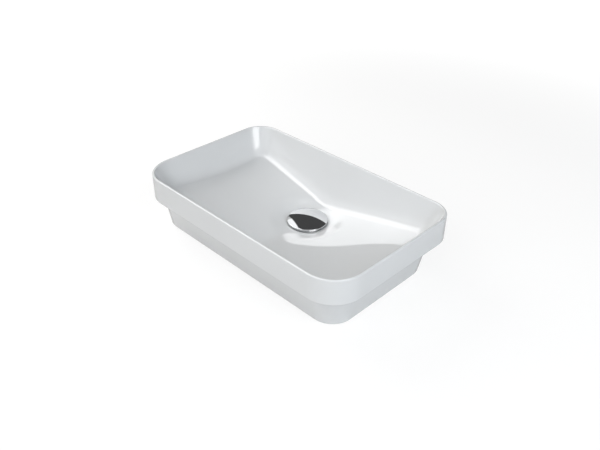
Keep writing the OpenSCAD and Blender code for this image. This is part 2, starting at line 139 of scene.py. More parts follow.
class BasinWaste(bpy.types.PropertyGroup):
    """Cap, threaded waste and spring"""

    sheet: length("Cap sheet", "Thickness of the cap's sheet metal", 0.001)
    edge: length("Cap edge", "Height of the cap's rolled edge", 0.0032)
    roll: length("Cap roll", "Radius of the roll that closes the cap's edge", 0.0011)
    tube_r: length("Tube radius", "Outer radius of the threaded tube, G 1 1/4", 0.02095)
    tube: length("Tube wall", "Wall of the threaded tube", 0.0022)
    flange: length("Flange thickness", "Thickness of the flange", 0.0026)
    pitch: length("Thread pitch", "Distance between two thread crests", 0.002309)
    thread: length("Thread depth", "Depth of the thread", 0.00125)
    bare: length("Bare length", "Unthreaded length under the flange", 0.006)
    bar_drop: length("Bar depth", "Depth of the cross bars under the flange", 0.006)
    bar_high: length("Bar height", "Height of the cross bars", 0.004)
    bar_wide: length("Bar width", "Width of one cross bar", 0.0036)
    boss_r: length("Bar boss radius", "Radius of the boss where the bars cross", 0.0092)
    barrel_r: length("Barrel hole", "Radius of the boss's hole for the cartridge", 0.0071)
    boss: length("Bar boss height", "Height of the boss where the bars cross", 0.008)
    dish: length("Dish width", "Width of the flange's slope down to the throat", 0.013)
    neck: length("Neck", "Rounding from the flange's slope into the throat", 0.0015)
    wire_r: length("Wire radius", "Radius of the spring wire", 0.0004)
    turns: IntProperty(name="Spring turns", description="Turns of the spring", default=6)


class BasinFinish(bpy.types.PropertyGroup):
    """Colours and gloss"""

    glaze: tint("Glaze", "Colour of the glaze", (0.80, 0.81, 0.82))
    biscuit: tint("Biscuit", "Colour of the bare fired clay under the foot", (0.62, 0.57, 0.50))
    gloss: share("Glaze roughness", "Roughness of the glaze", 0.035)
    chrome: tint("Chrome", "Colour of the chrome plating", (0.53, 0.54, 0.55))
    chrome_rough: share("Chrome roughness", "Roughness of the chrome plating", 0.035)
    brass: tint("Brass", "Colour of turned brass", (0.70, 0.50, 0.22))
    rubber: tint("Rubber", "Colour of the rubber seals", (0.030, 0.031, 0.033))
    plastic: tint("Moulded plastic", "Colour of the acetal pieces", (0.76, 0.77, 0.77))
    steel: tint("Steel", "Colour of the stainless steel", (0.56, 0.57, 0.58))


class BasinStudio(bpy.types.PropertyGroup):
    """Camera and light"""

    focal: FloatProperty(
        name="Focal length", description="Camera focal length in millimetres", default=39.34, unit="CAMERA"
    )
    eye: FloatVectorProperty(
        name="Camera place", description="Camera position", default=(0.7260, -0.7099, 0.6485), unit="LENGTH"
    )
    turn: angle("Azimuth", "Camera direction round the basin", 44.72)
    tilt: angle("Elevation", "Camera height above the horizon", 33.66)
    roll: angle("Roll", "Roll of the camera", 0.66)
    sky: amount("Sky", "Strength of the soft light from all round", 0.10)
    paper: tint("Paper", "Colour of the floor", (0.80, 0.80, 0.80))
    reach: length("Floor reach", "Radius of the floor", 3.9)
    opening: FloatVectorProperty(
        name="Floor opening", description="Half length and half width of the floor's opening under the basin",
        default=(0.200, 0.098), size=2, unit="LENGTH",
    )
    sunk: length("Floor gap", "Gap between the foot ring and the floor", 0.0002)
    glow: share("Floor glow", "Share of its own light in the floor near the basin", 0.72)
    shown: amount("Floor light", "Strength of that light as the camera sees it", 1.11)
    mirrored: amount("Mirrored floor light", "Strength of that light as glaze and chrome mirror it", 0.53)


class Wire:
    """A socket that arithmetic can be done on; each operation adds a Math node."""

    def __init__(self, finish, socket):
        self.finish = finish
        self.socket = socket

    def maths(self, operation, *others):
        return self.finish.add("ShaderNodeMath", {"operation": operation}, *others)

    def __add__(self, other):
        return self.maths("ADD", self, other)

    def __radd__(self, other):
        return self.maths("ADD", other, self)

    def __sub__(self, other):
        return self.maths("SUBTRACT", self, other)

    def __rsub__(self, other):
        return self.maths("SUBTRACT", other, self)

    def __mul__(self, other):
        return self.maths("MULTIPLY", self, other)

    def __rmul__(self, other):
        return self.maths("MULTIPLY", other, self)

    def output(self, name):
        return Wire(self.finish, self.socket.node.outputs[name])


class Finish:
    """A node tree, filled by one method."""

    def __init__(self, tree):
        self.tree = tree
        tree.nodes.clear()

    def add(self, kind, settings=None, *values, **named):
        """Adds a node: its settings first, then its sockets by place or by name."""
        node = self.tree.nodes.new(kind)
        for key, setting in (settings or {}).items():
            setattr(node, key, setting)
        sockets = list(zip(node.inputs, values))
        sockets += [(self.find(node, key), value) for key, value in named.items()]
        for socket, value in sockets:
            if isinstance(value, Wire):
                self.tree.links.new(value.socket, socket)
            else:
                socket.default_value = value
        return Wire(self, node.outputs[0]) if node.outputs else None

    @staticmethod
    def find(node, key):
        """An input by its identifier, or by its name with the spaces written as underscores."""
        for socket in node.inputs:
            if socket.identifier == key or socket.identifier.replace(" ", "_") == key:
                return socket
        for socket in node.inputs:
            if socket.name.replace(" ", "_") == key:
                return socket
        raise KeyError(f"{node.bl_idname} has no input {key}")

    def place(self):
        return self.add("ShaderNodeTexCoord").output("Object")

    def noise(self, vector, scale, detail=2.0, roughness=0.5):
        return self.add("ShaderNodeTexNoise", None, Vector=vector, Scale=scale, Detail=detail, Roughness=roughness)

    def ramp(self, value, low, high, to_low=0.0, to_high=1.0):
        return self.add(
            "ShaderNodeMapRange", {"interpolation_type": "SMOOTHSTEP"},
            Value=value, From_Min=low, From_Max=high, To_Min=to_low, To_Max=to_high,
        )

    def blend(self, factor, first, second):
        mix = self.add("ShaderNodeMix", {"data_type": "RGBA"}, Factor_Float=factor, A_Color=first, B_Color=second)
        return Wire(self, next(s for s in mix.socket.node.outputs if s.identifier == "Result_Color"))

    def bump(self, height, distance, strength=1.0, normal=None):
        more = {"Normal": normal} if normal else {}
        return self.add("ShaderNodeBump", None, Height=height, Distance=distance, Strength=strength, **more)


def opaque(colour):
    return (*colour, 1.0)


def scaled(colour, by):
    return opaque(min(c * by, 1.0) for c in colour)


def new_finish(name):
    material = bpy.data.materials.new(name)
    material.use_nodes = True
    return material, Finish(material.node_tree)


def close_finish(finish, **sockets):
    shader = finish.add("ShaderNodeBsdfPrincipled", None, **sockets)
    finish.add("ShaderNodeOutputMaterial", None, Surface=shader)


# How far the glaze's lower edge wanders up and down
RAGGED = 0.0012


def glaze_finish(look, foot_z):
    """Thick glossy glaze over clay, which is left bare where the foot stands."""
    material, f = new_finish("glazed_clay")
    place = f.place()
    height = f.add("ShaderNodeSeparateXYZ", None, Vector=place).output("Z")
    ragged = f.noise(place, 60.0, 3.0) * RAGGED
    bare = 1.0 - f.ramp(height - ragged, foot_z - 2 * NICK, foot_z + FINE)
    cloud = f.noise(place, 7.0, 3.0)
    grain = f.noise(place, 900.0, 4.0, 0.7)
    glaze = f.blend(f.ramp(cloud, 0.3, 0.7), scaled(look.glaze, 0.985), scaled(look.glaze, 1.01))
    clay = f.blend(f.ramp(grain, 0.35, 0.65), scaled(look.biscuit, 0.86), scaled(look.biscuit, 1.1))
    colour = f.blend(bare, glaze, clay)
    wiped = f.noise(place, 14.0, 4.0, 0.6)
    rough = f.ramp(wiped, 0.35, 0.75, look.gloss * 0.8, look.gloss * 1.35)
    rough = rough * (1.0 - bare) + bare * 0.72
    peel = f.bump(f.noise(place, 95.0, 1.5), 0.00002, 0.35)
    pores = f.bump(grain * bare, 0.0002, 0.6, peel)
    close_finish(
        f, Base_Color=colour, Roughness=rough, Normal=pores, IOR=1.5, Coat_Weight=1.0 - bare,
        Coat_Roughness=0.02, Coat_IOR=1.6,
    )
    return material


def chrome_finish(look):
    """Chrome plating: mirror bright, with faint wipe marks and a few hairline scratches."""
    material, f = new_finish("chrome_plating")
    place = f.place()
    stretched = f.add("ShaderNodeMapping", None, Vector=place, Scale=(1.0, 6.0, 1.0), Rotation=(0.0, 0.0, 0.6))
    smear = f.noise(stretched, 22.0, 4.0, 0.6)
    hairline = f.noise(stretched, 420.0, 2.0, 0.8)
    colour = f.blend(f.ramp(smear, 0.3, 0.7), scaled(look.chrome, 0.97), scaled(look.chrome, 1.02))
    rough = f.ramp(smear, 0.35, 0.8, look.chrome_rough * 0.7, look.chrome_rough * 1.6)
    rough = rough + f.ramp(hairline, 0.66, 0.72, 0.0, 0.05)
    close_finish(f, Base_Color=colour, Metallic=1.0, Roughness=rough, Normal=f.bump(hairline, 0.00001, 0.12))
    return material


def brass_finish(look):
    """Turned brass: fine tool rings along its height, dulled in patches."""
    material, f = new_finish("turned_brass")
    place = f.place()
    rings = f.add(
        "ShaderNodeTexWave", {"wave_type": "BANDS", "bands_direction": "Z"},
        Vector=place, Scale=420.0, Distortion=1.2, Detail=2.0,
    )
    patch = f.noise(place, 70.0, 4.0, 0.6)
    dull = f.ramp(patch, 0.45, 0.7)
    colour = f.blend(dull, scaled(look.brass, 1.08), scaled(look.brass, 0.72))
    rough = f.ramp(patch, 0.3, 0.75, 0.22, 0.42)
    close_finish(f, Base_Color=colour, Metallic=1.0, Roughness=rough, Normal=f.bump(rings, 0.00004, 0.35))
    return material


def rubber_finish(look):
    """Moulded rubber with a fine grain and a trace of talc."""
    material, f = new_finish("seal_rubber")
    place = f.place()
    talc = f.noise(place, 55.0, 5.0, 0.65)
    grain = f.noise(place, 2600.0, 2.0)
    colour = f.blend(f.ramp(talc, 0.5, 0.75), opaque(look.rubber), scaled(look.rubber, 2.6))
    rough = f.ramp(talc, 0.3, 0.7, 0.62, 0.84)
    close_finish(f, Base_Color=colour, Roughness=rough, Normal=f.bump(grain, 0.00005, 0.4))
    return material


def plastic_finish(look):
    """Injection-moulded acetal with a soft sheen."""
    material, f = new_finish("moulded_acetal")
    place = f.place()
    flow = f.noise(place, 38.0, 3.0)
    grain = f.noise(place, 1800.0, 2.0)
    colour = f.blend(f.ramp(flow, 0.3, 0.7), scaled(look.plastic, 0.95), scaled(look.plastic, 1.03))
    rough = f.ramp(flow, 0.3, 0.7, 0.30, 0.42)
    close_finish(f, Base_Color=colour, Roughness=rough, Normal=f.bump(grain, 0.00002, 0.3))
    return material


def steel_finish(look):
    """Drawn stainless steel with fine lines along its height."""
    material, f = new_finish("drawn_steel")
    place = f.place()
    drawn = f.add("ShaderNodeMapping", None, Vector=place, Scale=(1.0, 1.0, 0.05))
    lines = f.noise(drawn, 2400.0, 3.0)
    colour = f.blend(f.ramp(lines, 0.3, 0.7), scaled(look.steel, 0.9), scaled(look.steel, 1.08))
    rough = f.ramp(lines, 0.3, 0.7, 0.2, 0.34)
    close_finish(f, Base_Color=colour, Metallic=1.0, Roughness=rough, Normal=f.bump(lines, 0.00001, 0.3))
    return material


# Shape of the body: the solid's outlines in closer rings, and a bowl fitted to what the photo's glaze mirrors

# Steps of the mesh along one ring: round a corner, along a long side and along an end
CORNER_STEPS, LONG_STEPS, SHORT_STEPS = 22, 66, 36
# Rings over the floor, the bowl wall, the underside, the rim's rounding and each small rounding
FLOOR_STEPS, WALL_STEPS, UNDER_STEPS, EDGE_STEPS, ROUND_STEPS = 30, 34, 16, 8, 6
# How far the steps crowd towards the corners
CROWDING = 1.4

# Roundings of small edges, from the softest to the sharpest
SOFT, FINE, TRIM, NICK = 0.0008, 0.0006, 0.0003, 0.0002
# Distances of the rows that keep a face flat beside an edge
NEAR_ROW, SEAT_ROW, ROW, WALL_ROW, BAND_ROW = 0.001, 0.0015, 0.002, 0.004, 0.01

# Least corner radius, and rounding at the top of the hollow underside
LEAST_R, HOLLOW_R = 0.006, 0.006
# Where the floor's rings start, in widths of the step round the landing
FLOOR_START = 2.4
# How much of the bowl wall's run its corners lose in radius
CORNER_LOSS = 0.6

# Steps round the cap, the tube, the wire, and one turn of the thread and of the spring
CAP_STEPS, TUBE_STEPS, WIRE_STEPS, TURN_STEPS, COIL_STEPS = 192, 144, 14, 48, 40
# Rows of the cap's dome, outside and inside, and angles of its rolled edge from the outside round to the inside
DOME_STEPS, LINING_STEPS = 14, 10
CURL = [math.radians(degrees) for degrees in range(50, -190, -20)]
# Thread profile over one pitch: how deep, and how far along
THREAD_PROFILE = ((0, 0.0), (0, 0.12), (1, 0.44), (1, 0.56), (0, 0.88), (0, 1.0))
# Turns of thread that are cut off again, below and above
BELOW, ABOVE = 2, 1
# How far the cross bars reach into their boss
OVERLAP = 0.001
# Distances under which points count as one: in one mesh, and where two meshes meet
SAME, MEET = 1e-7, 1e-6


def spread(t):
    """A share of a side, moved towards the nearer corner."""
    u = 2 * t - 1
    return (1 + math.copysign(abs(u) ** CROWDING, u)) / 2


def outline(rim, ends, front, back, front_r, back_r):
    """Rounded rectangle inset from the rim by separate amounts, as a list of plan points."""
    x, y0, y1 = rim.long / 2 - ends, front - rim.wide / 2, rim.wide / 2 - back
    f, b = max(front_r, LEAST_R), max(back_r, LEAST_R)
    corners = [(x - f, y0 + f, f, -90), (x - b, y1 - b, b, 0), (b - x, y1 - b, b, 90), (f - x, y0 + f, f, 180)]
    arcs = []
    for cx, cy, r, start in corners:
        turns = [math.radians(start + 90 * i / CORNER_STEPS) for i in range(CORNER_STEPS + 1)]
        arcs.append([Vector((cx + r * math.cos(a), cy + r * math.sin(a))) for a in turns])
    points = []
    for i, count in enumerate((SHORT_STEPS, LONG_STEPS, SHORT_STEPS, LONG_STEPS)):
        points += arcs[i]
        p, q = arcs[i][-1], arcs[(i + 1) % 4][0]
        points += [p.lerp(q, spread(k / count)) for k in range(1, count)]
    return points


def ease(t):
    """Smooth step from 0 to 1."""
    k = min(max(t, 0.0), 1.0)
    return k * k * (3 - 2 * k)


def soft_run(d, soft):
    """Distance with a rounded start."""
    return math.sqrt(d * d + soft * soft) - soft


def blend_max(a, b, s):
    """The larger of two, rounded where they are within s of each other."""
    h = max(s - abs(a - b), 0) / s
    return max(a, b) + h * h * s / 4


def floor_height(bowl, p):
    """Height of the bowl floor above the foot ring."""
    dy = p.y - bowl.waste_y
    fall = math.tan(bowl.end_fall) * soft_run(p.x, bowl.valley)
    fall += math.tan(bowl.side_fall) * soft_run(dy, bowl.side_soft)
    out = math.hypot(p.x, dy) - bowl.landing_r
    k = min(max((out - bowl.sink) / bowl.landing_soft, 0.0), 1.0)
    return bowl.landing + bowl.lip * ease(out / bowl.sink) + fall * (k * (2 - k) + ease(k)) / 2


def level(points, z):
    return [Vector((p.x, p.y, z)) for p in points]


def circle_ring(points, bowl, r, z):
    """The points moved straight towards the waste, onto a circle round it."""
    ring = []
    for p in points:
        d = Vector((p.x, p.y - bowl.waste_y)).normalized() * r
        ring.append(Vector((d.x, bowl.waste_y + d.y, z)))
    return ring


def steps(count, bend=1.0):
    """Shares from 0 to 1; bend above 1 crowds them towards 0."""
    return [(k / count) ** bend for k in range(count + 1)]


def quarter(count):
    """Angles from 0 to 90 degrees."""
    return [math.radians(90 * k / count) for k in range(count + 1)]


class BodyShape:
    """Rings of the basin body, in heights above the foot ring."""

    def __init__(self, rim, lower, bowl):
        self.rim, self.lower, self.bowl = rim, lower, bowl
        self.wall_in = rim.thick - rim.edge + rim.edge * math.cos(bowl.lean)
        self.wall_top = rim.high - rim.edge + rim.edge * math.sin(bowl.lean)
        blend_run = bowl.blend * math.tan(bowl.lean)
        self.deep_run = (self.wall_top - bowl.landing) * math.tan(bowl.lean) + blend_run / 2

    def rim_ring(self, inset, z):
        rim = self.rim
        return level(outline(rim, inset, inset, inset, rim.front_r - inset, rim.back_r - inset), z)

    def lower_plan(self, down, more):
        low = self.lower
        r = low.corner - low.taper * down - more
        ends, front = low.ends_in + low.taper * down + more, low.front_in + low.taper * down + more
        return outline(self.rim, ends, front, low.back_in + low.back_taper * down + more, r, r)

    def bowl_plan(self, run):
        inset, rim = self.wall_in + run, self.rim
        loss = self.wall_in + run * CORNER_LOSS
        return outline(rim, inset, inset, inset, rim.front_r - loss, rim.back_r - loss)

    def bowl_ring(self, run):
        wall = self.wall_top - run / math.tan(self.bowl.lean)
        return [
            Vector((p.x, p.y, blend_max(floor_height(self.bowl, p), wall, self.bowl.blend)))
            for p in self.bowl_plan(run)
        ]

    def floor_rings(self, plan, r, shares, drop):
        rings = []
        for k in shares:
            ring = []
            for p, c in zip(plan, circle_ring(plan, self.bowl, r, 0)):
                q = p.lerp(c.xy, k)
                ring.append(Vector((q.x, q.y, floor_height(self.bowl, q) - drop)))
            rings.append(ring)
        return rings

    def hole_rings(self, plan):
        """Up through the waste hole, over the recess and onto the landing."""
        b = self.bowl
        top = b.landing - b.recess
        turned = [
            (b.hole_r + SOFT, b.boss), (b.hole_r, b.boss + SOFT), (b.hole_r, b.boss + ROW), (b.hole_r, top - ROW),
            (b.hole_r, top - FINE), (b.hole_r + FINE, top), (b.hole_r + ROW, top), (b.recess_r - ROW, top),
            (b.recess_r - SOFT, top), (b.recess_r - NICK, top + NICK), (b.recess_r, top + SOFT),
            (b.recess_r, b.landing - SOFT), (b.recess_r + NICK, b.landing - TRIM), (b.recess_r + FINE, b.landing),
        ]
        return [circle_ring(plan, b, r, z) for r, z in turned]

    def sink_rings(self, plan):
        """The rounded step that the cap's edge covers."""
        b = self.bowl
        rings = []
        for k in (0, 0.15, 0.3, 0.45, 0.6, 0.75, 0.9, 1.05, 1.3, 1.7):
            ring = circle_ring(plan, b, b.landing_r + k * b.sink, 0)
            rings.append([Vector((p.x, p.y, floor_height(b, p))) for p in ring])
        return rings

    def under_rings(self):
        """From the foot's inner edge up into the hollow underside and down round the boss."""
        b, low = self.bowl, self.lower
        foot = ((-NEAR_ROW, 0), (-TRIM, TRIM), (0, NEAR_ROW), (TRIM, WALL_ROW))
        rings = [level(self.lower_plan(1, low.foot + more), z) for more, z in foot]
        wall = self.lower_plan(1, low.foot + low.draft)
        top = self.floor_rings(wall, b.boss_r, [0], b.floor)[0]
        start = rings[-1]
        for k in (0.3, 0.6, 0.85):
            rings.append([p.lerp(q, k) for p, q in zip(start, top)])
        for a in quarter(3)[1:]:
            inset = low.foot + low.draft + HOLLOW_R * (1 - math.cos(a))
            ring = self.floor_rings(self.lower_plan(1, inset), b.boss_r, [0], b.floor)[0]
            rings.append([p - Vector((0, 0, HOLLOW_R * (1 - math.sin(a)))) for p in ring])
        plan = self.lower_plan(1, low.foot + low.draft + HOLLOW_R)
        rings += self.floor_rings(plan, b.boss_r + 2 * ROW, steps(UNDER_STEPS)[1:], b.floor)
        base = b.landing - b.floor
        turned = [
            (b.boss_r + ROW, base), (b.boss_r + FINE, base - FINE), (b.boss_r, base - ROW), (b.boss_r, b.boss + ROW),
            (b.boss_r, b.boss + SOFT), (b.boss_r - SOFT, b.boss), (b.boss_r - ROW, b.boss), (b.hole_r + ROW, b.boss),
        ]
        return rings + [circle_ring(plan, b, r, z) for r, z in turned]

    def rings(self):
        rim, low, b = self.rim, self.lower, self.bowl
        deep = self.bowl_plan(self.deep_run)
        made = self.hole_rings(deep) + self.sink_rings(deep)
        shares = [1 - k for k in steps(FLOOR_STEPS, 1.3)[:-1]]
        made += self.floor_rings(deep, b.landing_r + FLOOR_START * b.sink, shares, 0)
        made += [self.bowl_ring(self.deep_run * (1 - k)) for k in steps(WALL_STEPS)]
        top, bottom = rim.high - rim.edge, rim.seat + rim.band_edge
        for k in steps(ROUND_STEPS)[1:]:
            a = b.lean + (math.pi / 2 - b.lean) * k
            made.append(self.rim_ring(rim.thick - rim.edge + rim.edge * math.cos(a), top + rim.edge * math.sin(a)))
        for a in quarter(EDGE_STEPS):
            made.append(self.rim_ring(rim.edge * (1 - math.sin(a)), top + rim.edge * math.cos(a)))
        for z in (top - ROW, top - BAND_ROW, (top + bottom) / 2, bottom + BAND_ROW, bottom + ROW):
            made.append(self.rim_ring(0, z))
        for a in quarter(ROUND_STEPS):
            made.append(self.rim_ring(rim.band_edge * (1 - math.cos(a)), bottom - rim.band_edge * math.sin(a)))
        made.append(self.rim_ring(rim.band_edge + SEAT_ROW, rim.seat))
        made.append(level(self.lower_plan(0, -low.fillet - SEAT_ROW), rim.seat))
        for a in quarter(ROUND_STEPS):
            z = rim.seat - low.fillet + low.fillet * math.cos(a)
            made.append(level(self.lower_plan(0, low.fillet * (math.sin(a) - 1)), z))
        foot_top = low.foot_edge
        for k in (0.05, 0.3, 0.6, 0.85, 0.97):
            z = (rim.seat - low.fillet) * (1 - k) + foot_top * k
            made.append(level(self.lower_plan((rim.seat - z) / rim.seat, 0), z))
        down = (rim.seat - foot_top) / rim.seat
        for a in quarter(ROUND_STEPS):
            made.append(level(self.lower_plan(down, foot_top * (1 - math.cos(a))), foot_top * (1 - math.sin(a))))
        made.append(level(self.lower_plan(down, foot_top + SEAT_ROW), 0))
        return made + self.under_rings()


def place_ring(verts, number, ring, lift):
    for v in verts:
        v.co = ring[v[number]] + lift


def skin(rings, lift):
    """A loop of edges extruded from ring to ring, closed where it meets the first one."""
    bm = bmesh.new()
    number = bm.verts.layers.int.new("number")
    made = bmesh.ops.create_circle(bm, cap_ends=False, segments=len(rings[0]), radius=1.0)
    for i, v in enumerate(made["verts"]):
        v[number] = i
    verts, edges = list(made["verts"]), list(bm.edges)
    place_ring(verts, number, rings[0], lift)
    for ring in rings[1:] + rings[:1]:
        out = bmesh.ops.extrude_edge_only(bm, edges=edges)["geom"]
        verts = [g for g in out if isinstance(g, bmesh.types.BMVert)]
        edges = [g for g in out if isinstance(g, bmesh.types.BMEdge)]
        place_ring(verts, number, ring, lift)
    bmesh.ops.remove_doubles(bm, verts=bm.verts, dist=SAME)
    bm.verts.layers.int.remove(bm.verts.layers.int["number"])
    return bm


def check_closed(bm, what):
    open_edges = sum(1 for e in bm.edges if len(e.link_faces) != 2)
    if open_edges:
        raise RuntimeError(f"{what} has {open_edges} open edges")


def join_part(bm, part):
    """Adds one bmesh to another and frees it."""
    mesh = bpy.data.meshes.new("part")
    part.to_mesh(mesh)
    part.free()
    bm.from_mesh(mesh)
    bpy.data.meshes.remove(mesh)


def finish_piece(context, bm, name, material, smooth_below=40.0):
    """Turns the bmesh into an object at the origin, smooth but for its sharp edges."""
    bmesh.ops.recalc_face_normals(bm, faces=bm.faces)
    limit = math.radians(smooth_below)
    for face in bm.faces:
        face.smooth = True
    for edge in bm.edges:
        if len(edge.link_faces) == 2:
            edge.smooth = edge.calc_face_angle(0.0) < limit
    mesh = bpy.data.meshes.new(name)
    bm.to_mesh(mesh)
    bm.free()
    piece = bpy.data.objects.new(name, mesh)
    context.scene.collection.objects.link(piece)
    mesh.materials.append(material)
    return piece


def wire_profile(bm, corners, closed=True):
    """Corners as (radius, height, setback): each setback rounds its corner by that much along both sides."""
    verts = [bm.verts.new((r, 0.0, z)) for r, z, _ in corners]
    pairs = list(zip(verts, verts[1:] + verts[:1])) if closed else list(zip(verts, verts[1:]))
    for pair in pairs:
        bm.edges.new(pair)
    for vert, (_, _, setback) in zip(verts, corners):
        if setback:
            bmesh.ops.bevel(
                bm, geom=[vert], offset=setback, offset_type="OFFSET", segments=5, profile=0.5,
                affect="VERTICES", material=-1, clamp_overlap=False,
            )


def spin_profile(bm, count):
    geom = list(bm.verts) + list(bm.edges)
    bmesh.ops.spin(
        bm, geom=geom, cent=(0, 0, 0), axis=(0, 0, 1), dvec=(0, 0, 0), angle=math.tau, steps=count,
        use_merge=True, use_duplicate=False,
    )
    bmesh.ops.remove_doubles(bm, verts=bm.verts, dist=SAME)


def dress(node, material):
    """Gives a CAD node its finish through its object's material slots."""
    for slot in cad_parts[node].material_slots:
        slot.link = "OBJECT"
        slot.material = material


class BASIN_OT_body(bpy.types.Operator):
    """Skins the glazed body over rings from its hole and bowl to its rim and foot"""

    bl_idname = "basin.body"
    bl_label = "Glazed body"

    def execute(self, context):
        scene = context.scene
        shape = BodyShape(scene.basin_rim, scene.basin_lower, scene.basin_bowl)
        bm = skin(shape.rings(), Vector((0, 0, -scene.basin_rim.seat)))
        check_closed(bm, "the body")
        material = glaze_finish(scene.basin_finish, BODY_LOW.z)
        piece = finish_piece(context, bm, "glazed_body", material)
        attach(piece, "basin")
        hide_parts("basin_body")
        return {"FINISHED"}


class BASIN_OT_cap(bpy.types.Operator):
    """Spins the pressed cap with its rolled edge"""

    bl_idname = "basin.cap"
    bl_label = "Pressed cap"

    def execute(self, context):
        scene = context.scene
        y, waste = scene.basin_bowl.waste_y, scene.basin_waste
        outer = (CAP_HIGH.x - CAP_LOW.x) / 2
        top, low = CAP_HIGH.z, CAP_LOW.z
        edge, sheet, roll = low + waste.edge, waste.sheet, waste.roll
        rise = top - edge
        dome_r = (outer * outer + rise * rise) / (2 * rise)
        bm = bmesh.new()

        def dome_z(r, drop):
            return top - dome_r + math.sqrt(dome_r * dome_r - r * r) - drop

        wall = outer - TRIM
        inner = wall - sheet
        over = [(wall * k, dome_z(wall * k, 0), 0) for k in steps(DOME_STEPS)[:-1]]
        under = [(inner * k, dome_z(inner * k, sheet), 0) for k in reversed(steps(LINING_STEPS)[:-1])]
        rim = [(wall, dome_z(wall, 0), FINE), (wall, low + 2 * roll, NICK)]
        curl = [(outer - roll + roll * math.cos(a), low + roll + roll * math.sin(a), 0) for a in CURL]
        inside = [(inner, low + 2.2 * roll, 0), (inner, dome_z(wall, sheet), 2 * NICK)]
        wire_profile(bm, over + rim + curl + inside + under, closed=False)
        spin_profile(bm, CAP_STEPS)
        bmesh.ops.translate(bm, verts=bm.verts, vec=(0, y, 0))
        material = chrome_finish(scene.basin_finish)
        piece = finish_piece(context, bm, "pressed_cap", material, smooth_below=50.0)
        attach(piece, "cap")
        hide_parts("plug_cap")
        return {"FINISHED"}


def thread(bm, waste, low, high):
    """One groove swept round one turn of its helix, repeated turn by turn and cut off level at both ends."""
    start = low - BELOW * waste.pitch
    verts = [
        bm.verts.new((waste.tube_r - deep * waste.thread, 0.0, start + k * waste.pitch)) for deep, k in THREAD_PROFILE
    ]
    edges = [bm.edges.new(pair) for pair in zip(verts, verts[1:])]
    turns = math.ceil((high - low) / waste.pitch) + BELOW + ABOVE
    bmesh.ops.spin(
        bm, geom=verts + edges, cent=(0, 0, 0), axis=(0, 0, 1), dvec=(0, 0, waste.pitch / TURN_STEPS),
        angle=math.tau, steps=TURN_STEPS, use_merge=False, use_duplicate=False,
    )
    turn = list(bm.verts) + list(bm.edges) + list(bm.faces)
    for k in range(1, turns):
        copy = bmesh.ops.duplicate(bm, geom=turn)["geom"]
        raised = [g for g in copy if isinstance(g, bmesh.types.BMVert)]
        bmesh.ops.translate(bm, verts=raised, vec=(0, 0, k * waste.pitch))
    bmesh.ops.remove_doubles(bm, verts=bm.verts, dist=MEET)
    for z, up in ((low, -1), (high, 1)):
        geom = list(bm.verts) + list(bm.edges) + list(bm.faces)
        bmesh.ops.bisect_plane(
            bm, geom=geom, dist=SAME, plane_co=(0, 0, z), plane_no=(0, 0, up), clear_outer=True, clear_inner=False,
        )


def open_loop(bm, z):
    """The open edges that lie at one height."""
    return [
        e for e in bm.edges
        if len(e.link_faces) == 1 and all(abs(v.co.z - z) < MEET for v in e.verts)
    ]


